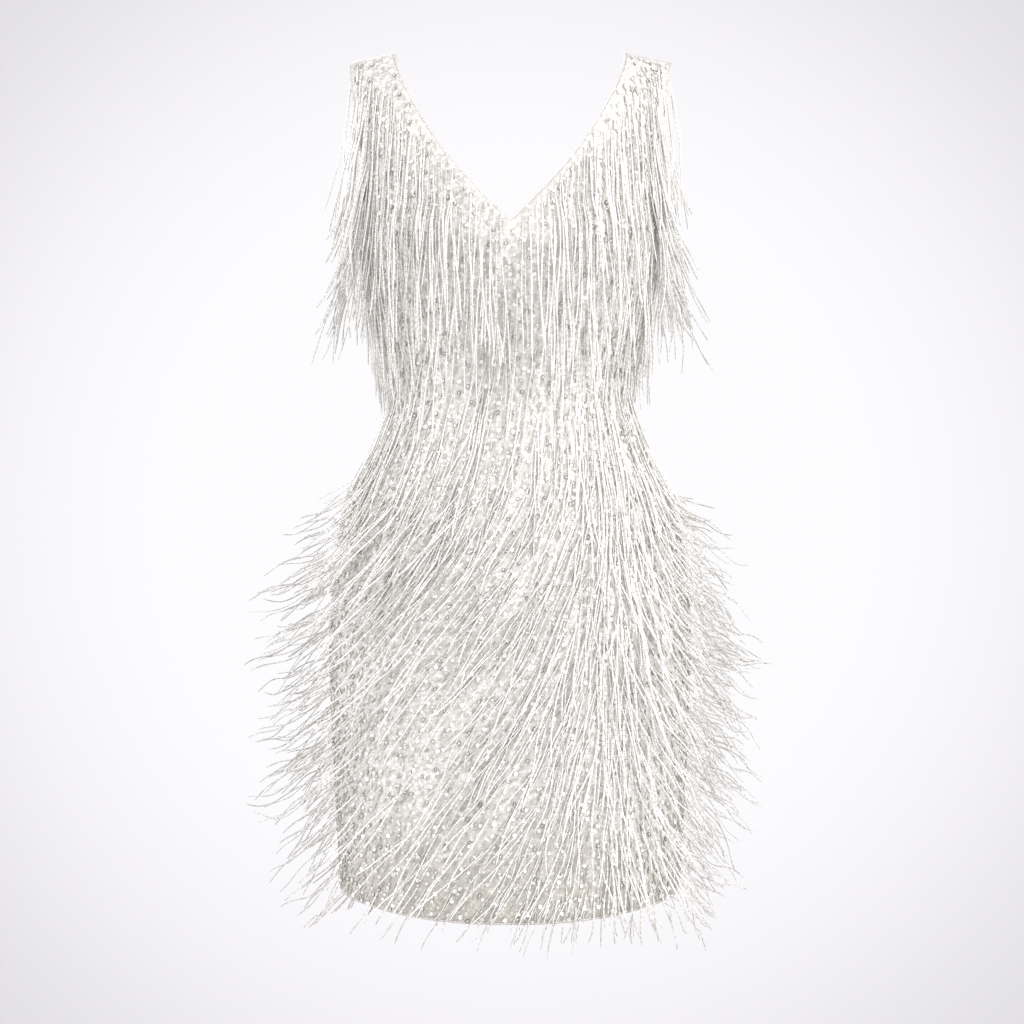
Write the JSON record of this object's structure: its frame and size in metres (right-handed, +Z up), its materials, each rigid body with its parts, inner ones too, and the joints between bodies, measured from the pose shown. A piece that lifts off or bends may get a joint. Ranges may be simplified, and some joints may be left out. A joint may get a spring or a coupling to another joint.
{
  "type": "flapper dress",
  "caption": "Sleeveless V-neck mini flapper dress in ivory beaded tulle, hung all over with long strands of bugle beads, in the hollow shape it takes when worn.",
  "frame": {"origin": "midway between the two shoulders, at the height where the straps rest on them", "axes": "+Z up, front of the dress towards -Y, the wearer's left towards +X"},
  "size_m": [0.5164, 0.2632, 0.8927],
  "materials": {
    "ground": "fine tulle over satin, grey-ivory",
    "edge": "rolled satin binding",
    "beads": "ivory-white glass bugle beads, glossy",
    "sequins": "pearly white flat sequins",
    "crystals": "silver-rimmed clear stones",
    "pearls": "imitation pearls, lustrous"
  },
  "bodies": {
    "root": {"front_panel": "ground", "back_panel": "ground", "neck_binding": "edge", "armhole_binding_left": "edge", "armhole_binding_right": "edge", "hem_binding": "edge", "yoke_fringe_front": "beads", "yoke_fringe_back": "beads", "bust_fringe_front": "beads", "bust_fringe_back": "beads", "waist_fringe_front": "beads", "waist_fringe_back": "beads", "high_hip_fringe_front": "beads", "high_hip_fringe_back": "beads", "hip_fringe_front": "beads", "hip_fringe_back": "beads", "thigh_fringe_front": "beads", "thigh_fringe_back": "beads", "hem_fringe_front": "beads", "hem_fringe_back": "beads", "shoulder_fringe_left": "beads", "shoulder_fringe_right": "beads"}
  },
  "joints": []
}
